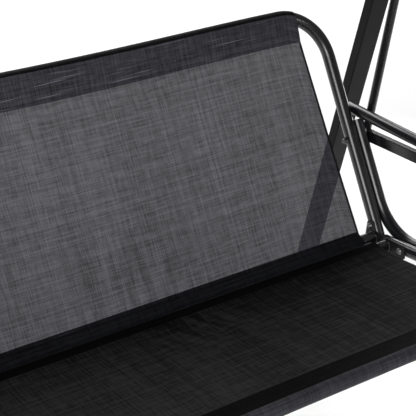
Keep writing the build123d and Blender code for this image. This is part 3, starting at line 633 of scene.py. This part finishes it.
seat = make_sling(
    "seat_sling_cloth",
    seat_pt,
    "swing",
    M_SEAT_PAINTED_SHADE,
    lambda x: (0.0, 1.0, SEAT_HEM_R),
    lambda x: (SEAT_L - bow(x, SEAT_E, SEAT_BOW) - front_bend(x)[0], front_bend(x)[1], SEAT_L - bow(x, SEAT_E, SEAT_BOW) - SEAT_HEM_F),
    lambda s: SEAT_EDGE,
    48,
    seat_wrinkle,
    hem_w=SIDE_HEM,
    band=[(M_SEAT_BANDS_PAINTED_SHADE, lambda h, n: (0, h - 7)), (M_SEAT_BANDS_PAINTED_SHADE, lambda h, n: (h + 46, h + 57)), (M_ROLL_PAINTED_LIGHT, lambda h, n: (h + 57, n))],
)
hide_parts("seat_sling")

# stitching of both slings
runs = []
xs = np.linspace(-1, 1, 90)
for off in (0.0, 6.0):
    for side in (1, -1):
        w = back_half(HEM_TOP) - 3
        runs.append(([back_pt(a * w, bow(a * w, HALF - BACK_R, BACK_BOW) + HEM_TOP + off - 6.5, SHEET_N + (0.9 if side > 0 else -1.4)) for a in xs], [(0, BN[0] * side, BN[1] * side)] * len(xs)))
runs.append(([back_pt(a * (back_half(498) - 3), BACK_LOW_S - BACK_SEAM_LOW - 1.0, SHEET_N + 0.1) for a in xs], [(0, BN[0], BN[1])] * len(xs)))
for sg in (-1, 1):
    ss = np.linspace(HEM_TOP + 4, BACK_LOW_S - BACK_SEAM_LOW - 3, 60)
    for side in (1, -1):
        runs.append(([back_pt(sg * (back_half(s) - 3.6), s, SHEET_N + (0.25 if side > 0 else -1.15) + back_wrinkle(sg * 0.985, (s - HEM_TOP) / (BACK_LOW_S - BACK_SEAM_LOW - HEM_TOP), s)) for s in ss], [(0, BN[0] * side, BN[1] * side)] * len(ss)))
back_thread = stitches("back_sling_stitching", runs, "swing", M_THREAD)

runs = []
for off in (0.0, 6.0):
    w = SEAT_EDGE - 3
    for side in (1, -1):
        n = SHEET_N + (0.9 if side > 0 else -1.4)
        runs.append(([seat_pt(a * w, SEAT_HEM_R + off - 6.5, n) for a in xs], [(0, SN[0] * side, SN[1] * side)] * len(xs)))
        runs.append(([seat_pt(a * w, SEAT_L - bow(a * w, SEAT_E, SEAT_BOW) - SEAT_HEM_F - off + 6.5, n) for a in xs], [(0, SN[0] * side, SN[1] * side)] * len(xs)))
for sg in (-1, 1):
    ts = np.linspace(SEAT_HEM_R + 3, SEAT_L - SEAT_HEM_F - 3, 60)
    for side in (1, -1):
        runs.append(([seat_pt(sg * (SEAT_EDGE - 3.6), t, SHEET_N + (0.25 if side > 0 else -1.15) + seat_wrinkle(sg * 0.985, (t - SEAT_HEM_R) / (SEAT_L - SEAT_HEM_F - SEAT_HEM_R), t)) for t in ts], [(0, SN[0] * side, SN[1] * side)] * len(ts)))
seat_thread = stitches("seat_sling_stitching", runs, "swing", M_THREAD)



# ------------------------------------------------------------------- canopy
R_OUT = ARC_R + RAIL_R + 1.2
YE = RAIL_HALF + RAIL_R + 1.0


def can_sag(x, y):
    """How far the cloth sinks between the rails at (x, y)."""
    bay = abs(x) / CAN_HALF
    cx = math.sin(math.pi * min(1.0, bay)) ** 0.8
    cy = max(0.0, math.cos(math.pi / 2 * min(1.0, abs(y) / YE))) ** 0.6
    folds = 0.6 * math.sin(x / 47.0 + y / 160.0) * cx * (abs(y) / YE) ** 2
    return 7.5 * cx * cy + folds


def arc_z(y, r):
    return ARC_Z + math.sqrt(r * r - y * y)


def can_top(x, y):
    return arc_z(y, R_OUT) - can_sag(x, y)


ny, nx, nskirt = 72, 120, 14
ys = np.linspace(-YE, YE, ny + 1)
xs_c = np.linspace(-CAN_HALF + 0.6, CAN_HALF - 0.6, nx + 1)
verts, uvs, faces = [], [], []
slope = math.atan2(YE, math.sqrt(R_OUT**2 - YE**2))


def add_grid(pts, uv):
    nu, nv = len(pts), len(pts[0])
    base = len(verts)
    for row, ur in zip(pts, uv):
        verts.extend(row)
        uvs.extend(ur)
    faces.extend(grid_faces(nu, nv, base))


def valance(x, y_sign, j):
    """Point j of nskirt down the end valance at x."""
    t = j / nskirt
    d = (SKIRT_END - 1.0) * t
    edge = 1.0 - 0.5 * (1 - math.cos(math.pi * min(1.0, (CAN_HALF - abs(x)) / 60.0)))
    wave = (1 - edge) * t**1.3 * (3.6 * math.sin(x / 58.0 + y_sign) + 1.8 * math.sin(x / 23.0 + 2 * y_sign))
    round_y = 1.6 * math.sin(min(1.0, t * 6) * math.pi / 2)
    return (x, y_sign * (YE + round_y - 1.2 * t) + y_sign * wave * 0.55 - y_sign * 1.2 * t, can_top(x, y_sign * YE) - d)


# top: from the front edge to the rear edge
pts, uv = [], []
for x in xs_c:
    pts.append([(x * MM, y * MM, can_top(x, y) * MM) for y in ys])
    uv.append([(x * MM, R_OUT * math.asin(y / R_OUT) * MM) for y in ys])
add_grid(pts, uv)
for sg in (-1, 1):
    pts, uv = [], []
    for x in xs_c:
        pts.append([tuple(q * MM for q in valance(x, sg, j)) for j in range(nskirt + 1)])
        uv.append([(x * MM, sg * (R_OUT * slope + (SKIRT_END - 1.0) * j / nskirt) * MM) for j in range(nskirt + 1)])
    add_grid(pts, uv)
nside = 8
for sg in (-1, 1):
    pts, uv = [], []
    for y in ys:
        row, ur = [], []
        x_edge = sg * (CAN_HALF - 0.6)
        for j in range(nside + 1):
            t = j / nside
            fade = min(1.0, (YE - abs(y)) / 40.0)
            x = x_edge + sg * (0.6 * math.sin(min(1.0, t * 4) * math.pi / 2) + fade * t * 1.4 * math.sin(y / 38.0))
            x = sg * min(abs(x), CAN_HALF + 0.4)
            row.append((x * MM, y * MM, (can_top(x_edge, y) - (SKIRT_SIDE - 1.0) * t) * MM))
            ur.append(((x_edge + sg * SKIRT_SIDE * t) * MM, R_OUT * math.asin(y / R_OUT) * MM))
        pts.append(row)
        uv.append(ur)
    add_grid(pts, uv)
canopy = mesh_object("canopy_cloth_sheet", verts, faces, M_CAN, uvs)
bm = bmesh.new()
bm.from_mesh(canopy.data)
bmesh.ops.remove_doubles(bm, verts=bm.verts, dist=0.0004)
bmesh.ops.recalc_face_normals(bm, faces=bm.faces)
bm.to_mesh(canopy.data)
bm.free()
sol = canopy.modifiers.new("cloth_thickness", "SOLIDIFY")
sol.thickness = 0.0008
sol.offset = -1.0
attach(canopy, "canopy")
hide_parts("canopy_fabric")


def strip(name, path, normals, width_dir, w, mat, body, lift=0.5):
    """Flat binding tape along path, w wide along width_dir, slightly raised along normals."""
    v, f, u = [], [], []
    acc = 0.0
    for i, (p, n, d) in enumerate(zip(path, normals, width_dir)):
        p, n, d = Vector(p), Vector(n).normalized(), Vector(d).normalized()
        if i:
            acc += (p - prev).length
        prev = p
        for k, (a, h) in enumerate(((-0.5, -0.6), (-0.5, 0.7), (-0.3, 1.0), (0.3, 1.0), (0.5, 0.7), (0.5, -0.6))):
            v.append(p + d * (a * w * MM) + n * (h * lift * MM))
            u.append((acc, a * w * MM))
    nv = 6
    f = grid_faces(len(path), nv)
    ob = mesh_object(name, v, f, mat, u)
    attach(ob, body)
    return ob


# binding tape along the valance hems and over the seams
tapes, seams = [], []
for sg, nm in ((-1, "front"), (1, "rear")):
    hem = [tuple(q * MM for q in valance(x, sg, nskirt)) for x in xs_c]
    hem = [(x, y, z + 5.5 * MM) for x, y, z in hem]
    tapes.append(strip(f"canopy_{nm}_hem_tape", hem, [(0, sg, 0)] * len(hem), [(0, 0, 1)] * len(hem), 11.0, M_BIND, "canopy", 0.9))
    for dz in (8.8,):
        seams.append(([(x, y + sg * 0.9 * MM, z + (dz - 5.5) * MM) for x, y, z in hem], [(0, sg, 0)] * len(hem)))
    ridge = [(x * MM, sg * (YE - 7) * MM, (can_top(x, sg * (YE - 7)) + 0.1) * MM) for x in xs_c]
    seams.append((ridge, [(0, 0, 1)] * len(ridge)))
for sg, nm in ((-1, "left"), (1, "right")):
    hem = [(sg * (CAN_HALF - 0.1) * MM, y * MM, (can_top(sg * CAN_HALF, y) - SKIRT_SIDE + 6.0) * MM) for y in ys]
    tapes.append(strip(f"canopy_{nm}_hem_tape", hem, [(sg, 0, 0)] * len(hem), [(0, 0, 1)] * len(hem), 11.0, M_BIND, "canopy", 0.9))
    seams.append(([(x + sg * 0.9 * MM, y, z + 3.3 * MM) for x, y, z in hem], [(sg, 0, 0)] * len(hem)))
    edge = [(sg * (CAN_HALF - 7) * MM, y * MM, (can_top(sg * (CAN_HALF - 7), y) + 0.1) * MM) for y in ys]
    seams.append((edge, [(0, 0, 1)] * len(edge)))
for x0 in (-5.0, 5.0):
    mid = [(x0 * MM, y * MM, (can_top(x0, y) + 0.1) * MM) for y in ys]
    seams.append((mid, [(0, 0, 1)] * len(mid)))
canopy_thread = stitches("canopy_stitching", seams, "canopy", M_THREAD, length=3.4, pitch=5.2, r=0.4)


# ------------------------------------------------------------- weld beads
def weld(name, centre, axis, radius, body, bead=1.5, slot="frame_paint", squash=(1.0, 1.0), saddle=None):
    """Ring of overlapping weld ripples round a tube end."""
    z = Vector(axis).normalized()
    x = Vector((1, 0, 0)) if abs(z.x) < 0.9 else Vector((0, 1, 0))
    y = z.cross(x).normalized()
    x = y.cross(z).normalized()
    c = Vector(centre)
    nu, nv = 72, 8
    v = []
    for i in range(nu):
        a = 2 * math.pi * i / nu
        rb = bead * (1.0 + 0.16 * math.sin(a * 17 + 1.3) + 0.06 * math.sin(a * 5))
        radial = x * math.cos(a) * squash[0] + y * math.sin(a) * squash[1]
        p = c + radial * (radius * MM)
        if saddle:
            p = p + z * (saddle(math.cos(a) * radius, math.sin(a) * radius) * MM)
        rad_n = radial.normalized()
        for j in range(nv):
            b = 2 * math.pi * j / nv
            v.append(p + (rad_n * math.cos(b) + z * math.sin(b) * 1.15) * rb * MM)
    f = [(i * nv + j, ((i + 1) % nu) * nv + j, ((i + 1) % nu) * nv + (j + 1) % nv, i * nv + (j + 1) % nv) for i in range(nu) for j in range(nv)]
    ob = mesh_object(name, v, f, MATS[slot])
    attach(ob, body)
    return ob


cyb, czb = BACK_TOP[0] + BD[0] * BACK_LOW_S, BACK_TOP[1] + BD[1] * BACK_LOW_S
for sg, nm in ((-1, "left"), (1, "right")):
    weld(f"weld_back_lower_tube_{nm}", (sg * 641.6 * MM, cyb * MM, czb * MM), (1, 0, 0), 14.3, "swing")
    weld(f"weld_seat_rear_tube_{nm}", (sg * 641.6 * MM, SEAT_REAR[0] * MM, SEAT_REAR[1] * MM), (1, 0, 0), 14.3, "swing")

# ------------------------------------------------------- floor, light, camera
scene = bpy.context.scene
fm = Tree("studio_floor")
fm.b.inputs["Base Color"].default_value = (0.93, 0.93, 0.93, 1)
fm.b.inputs["Roughness"].default_value = 0.9
fm.b.inputs["Specular IOR Level"].default_value = 0.0
floor_v = [(-14, -8, 0), (14, -8, 0), (14, 22, 0), (-14, 22, 0)]
floor = mesh_object("studio_floor", [(x, y, z - 0.0005) for x, y, z in floor_v], [(0, 1, 2, 3)], fm.mat, smooth=False)

world = bpy.data.worlds.new("studio")
scene.world = world
world.use_nodes = True
world.node_tree.nodes["Background"].inputs[0].default_value = (1, 1, 1, 1)
world.node_tree.nodes["Background"].inputs[1].default_value = 0.245


def area_light(name, loc, target, size, power, colour=(1, 1, 1)):
    data = bpy.data.lights.new(name, "AREA")
    data.shape = "RECTANGLE"
    data.size, data.size_y = size
    data.energy = power
    data.color = colour
    ob = bpy.data.objects.new(name, data)
    ob.location = loc
    ob.rotation_euler = (Vector(target) - Vector(loc)).to_track_quat("-Z", "Y").to_euler()
    scene.collection.objects.link(ob)
    return ob


area_light("key", (-2.9, -2.5, 1.95), (0.1, 0.1, 0.6), (2.3, 2.3), 104)
area_light("fill", (2.2, -3.2, 0.95), (0.3, 0.1, 0.65), (0.8, 1.2), 20)
area_light("rear_floor", (1.9, 4.4, 4.0), (1.8, 2.3, 0.0), (6.0, 3.4), 285)
area_light("right_floor", (2.1, 0.75, 0.42), (0.9, 0.35, 0.0), (1.0, 0.5), 4)
near = area_light("near_floor", (1.75, 0.12, 0.30), (0.85, 0.02, 0.0), (0.6, 0.4), 1.97)
near.data.spread = math.radians(45)
area_light("top", (0.0, 0.3, 3.6), (0.0, 0.0, 0.0), (3.0, 2.0), 14)

# camera at the picture's view of the seat's right half
yw, pt, rl = math.radians(34.16), math.radians(25.47), math.radians(-0.54)
fwd = Vector((math.sin(yw) * math.cos(pt), math.cos(yw) * math.cos(pt), -math.sin(pt)))
right = Vector((math.cos(yw), -math.sin(yw), 0))
up = right.cross(fwd)
r2 = right * math.cos(rl) + up * math.sin(rl)
u2 = -right * math.sin(rl) + up * math.cos(rl)
cam_data = bpy.data.cameras.new("camera")
cam_data.sensor_width = 36.0
cam_data.lens = 1167.45 * 36.0 / 416.0
cam_data.clip_start, cam_data.clip_end = 0.01, 100
cam = bpy.data.objects.new("camera", cam_data)
scene.collection.objects.link(cam)
m = Matrix.Identity(4)
for i in range(3):
    m[i][0], m[i][1], m[i][2] = r2[i], u2[i], -fwd[i]
m.translation = Vector((-0.9434, -1.6226, 1.6034))
cam.matrix_world = m
scene.camera = cam

scene.view_settings.view_transform = "Standard"
scene.view_settings.look = "None"
scene.view_settings.exposure = 0.0
scene.view_settings.gamma = 1.0
